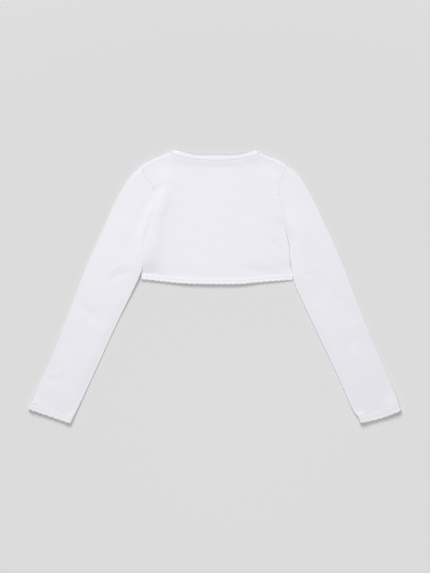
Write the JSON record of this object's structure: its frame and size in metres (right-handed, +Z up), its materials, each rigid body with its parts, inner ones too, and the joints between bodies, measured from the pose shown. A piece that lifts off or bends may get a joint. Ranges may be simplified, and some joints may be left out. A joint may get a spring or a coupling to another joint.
{
  "type": "knitted shrug",
  "caption": "Child's long-sleeved cropped shrug in fine jersey, laid flat with its back up, with scalloped hem and cuffs.",
  "frame": {"origin": "middle of the garment's outline, on the surface that it lies on", "axes": "+Z up out of the surface, +Y from hem to neck, +X towards the wearer's right sleeve; the back is uppermost"},
  "size_m": [0.5946, 0.438, 0.0095],
  "materials": {
    "jersey": "fine white cotton jersey knit, matt",
    "edging": "white cotton knitted edging with small scallops, matt"
  },
  "bodies": {
    "root": {"back": "jersey", "front_left": "jersey", "front_right": "jersey", "sleeve_left": "jersey", "sleeve_right": "jersey", "neckband_back": "edging", "band_front_left": "edging", "band_front_right": "edging", "hem_back": "edging", "hem_front_left": "edging", "hem_front_right": "edging", "cuff_left": "edging", "cuff_right": "edging"}
  },
  "joints": []
}
